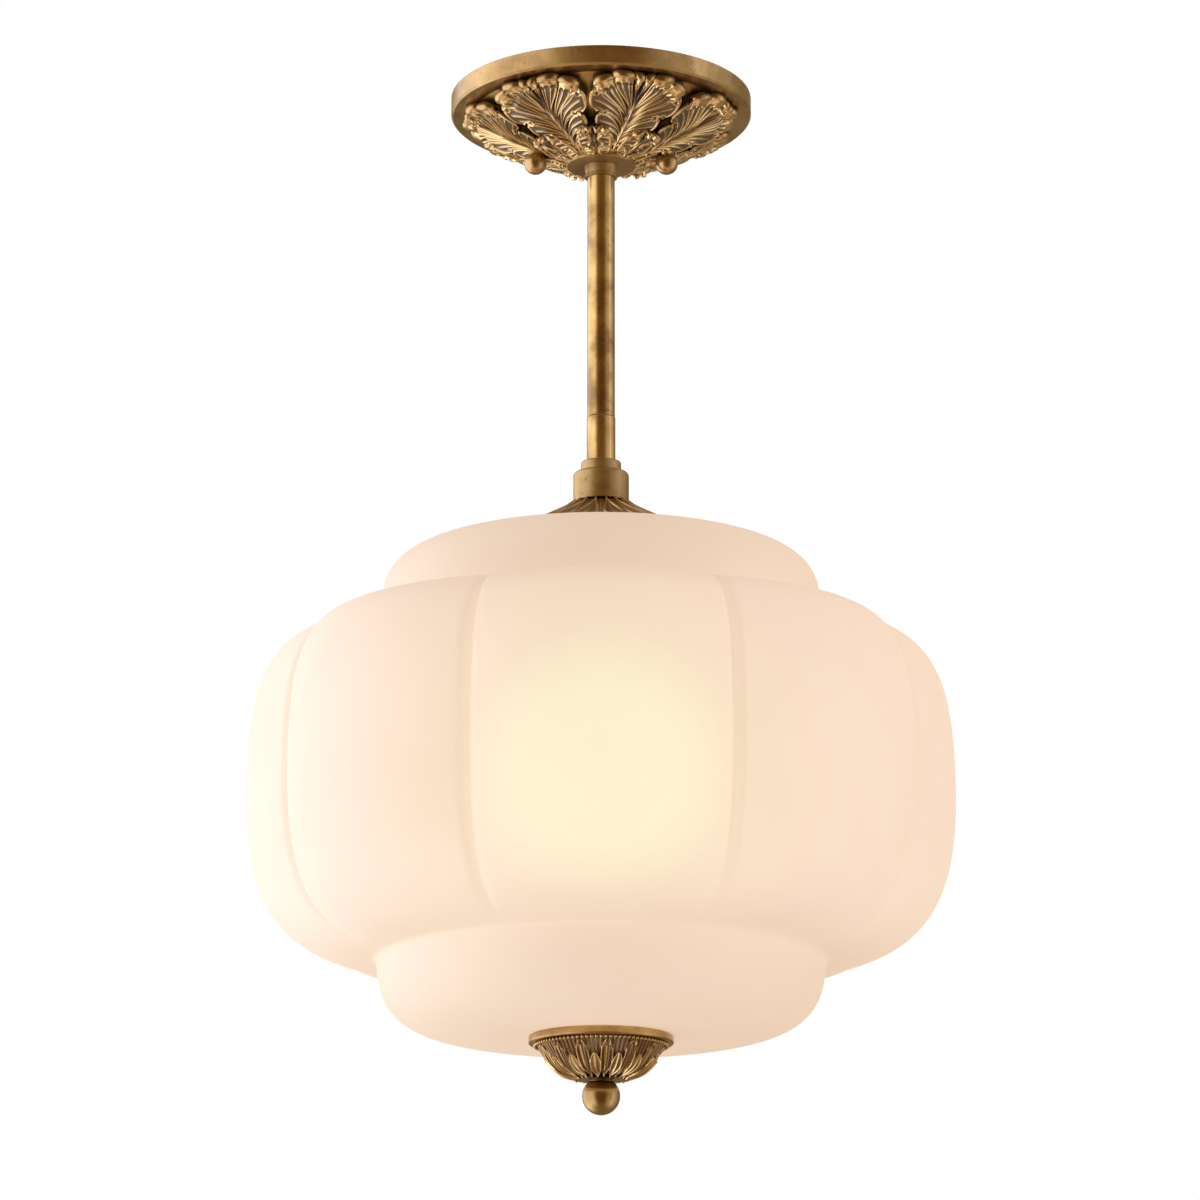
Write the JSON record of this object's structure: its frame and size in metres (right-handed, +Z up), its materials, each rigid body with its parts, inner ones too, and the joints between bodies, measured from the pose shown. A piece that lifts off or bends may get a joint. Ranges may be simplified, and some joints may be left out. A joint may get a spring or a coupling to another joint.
{
  "type": "semi-flush ceiling light",
  "caption": "Semi-flush ceiling light with an acanthus-leaf brass canopy, a short stem and a tiered, melon-lobed opal glass shade held by a ball finial.",
  "frame": {"origin": "centre of the canopy's rim on the ceiling plane", "axes": "+Z up into the ceiling, +X along the line of the two ball knobs, -Y towards the viewer"},
  "size_m": [0.3176, 0.3176, 0.4751],
  "materials": {
    "brass": "antique satin, brushed, with brown patina in the recesses",
    "zinc_steel": "zinc plated",
    "opal_glass": "opal white, satin outside",
    "bulb_frost": "frosted",
    "bulb_black": "black base glass",
    "nickel": "nickel plated",
    "bright_brass": "bright rolled brass",
    "porcelain": "white glaze",
    "felt_rubber": "matt",
    "green_screw": "green",
    "wire_black": "matt",
    "wire_white": "matt",
    "connector": "matt"
  },
  "bodies": {
    "fixture": {"canopy_plate": "brass", "leaf_rosette": "brass", "hub_disc": "brass", "stem_collar": "brass", "stem_upper": "brass", "stem_lower": "brass", "neck_ring": "brass", "neck_cup": "brass", "shade_cap": "brass", "crossbar": "zinc_steel", "canopy_studs": "zinc_steel", "canopy_stud_nuts": "zinc_steel", "canopy_nipple": "zinc_steel", "canopy_washer": "zinc_steel", "canopy_locknut": "zinc_steel", "joint_nipple": "zinc_steel", "lamp_nipple": "zinc_steel", "lamp_nuts": "zinc_steel", "yoke": "zinc_steel", "yoke_stud": "zinc_steel", "yoke_stud_nuts": "zinc_steel", "screw_shell": "nickel", "socket_cap": "bright_brass", "socket_shell": "bright_brass", "contact_tab": "bright_brass", "terminal_screws": "bright_brass", "socket_insulator": "porcelain", "top_gasket": "felt_rubber", "ground_screw": "green_screw", "wire_live": "wire_black", "wire_neutral": "wire_white", "wire_connectors": "connector"},
    "shade": {"shade_glass": "opal_glass", "bottom_pad": "felt_rubber", "cup_ring": "brass", "leaf_cup": "brass"},
    "finial_seat": {"finial_washer": "brass"},
    "finial": {"finial_ball": "brass"},
    "neck_left": {"knob_neck_left": "brass"},
    "knob_left": {"knob_ball_left": "brass"},
    "neck_right": {"knob_neck_right": "brass"},
    "knob_right": {"knob_ball_right": "brass"},
    "bulb": {"bulb_glass": "bulb_frost", "bulb_base": "nickel", "bulb_insulator": "bulb_black", "bulb_contact": "nickel"}
  },
  "joints": [
    {"name": "shade_lower", "type": "slide", "parent": "fixture", "child": "shade", "axis": [0, 0, -1], "range_m": [0, 0.25]},
    {"name": "finial_travel", "type": "slide", "parent": "shade", "child": "finial_seat", "axis": [0, 0, -1], "range_m": [0, 0.008]},
    {"name": "finial_turn", "type": "hinge", "parent": "finial_seat", "child": "finial", "pos_m": [0, 0, -0.4667], "axis": [0, 0, -1], "range_deg": [0, 2880]},
    {"name": "knob_left_travel", "type": "slide", "parent": "fixture", "child": "neck_left", "axis": [0, 0, -1], "range_m": [0, 0.009]},
    {"name": "knob_left_turn", "type": "hinge", "parent": "neck_left", "child": "knob_left", "pos_m": [-0.0305, 0, -0.0312], "axis": [0, 0, -1], "range_deg": [0, 4628.6]},
    {"name": "knob_right_travel", "type": "slide", "parent": "fixture", "child": "neck_right", "axis": [0, 0, -1], "range_m": [0, 0.009]},
    {"name": "knob_right_turn", "type": "hinge", "parent": "neck_right", "child": "knob_right", "pos_m": [0.0305, 0, -0.0312], "axis": [0, 0, -1], "range_deg": [0, 4628.6]},
    {"name": "bulb_out", "type": "slide", "parent": "fixture", "child": "bulb", "axis": [0, 0, -1], "range_m": [0, 0.024]}
  ],
  "couplings": [
    {"joint": "finial_turn", "follows": "finial_travel", "rad_per_m": 6283.2},
    {"joint": "knob_left_turn", "follows": "knob_left_travel", "rad_per_m": 8976},
    {"joint": "knob_right_turn", "follows": "knob_right_travel", "rad_per_m": 8976}
  ]
}
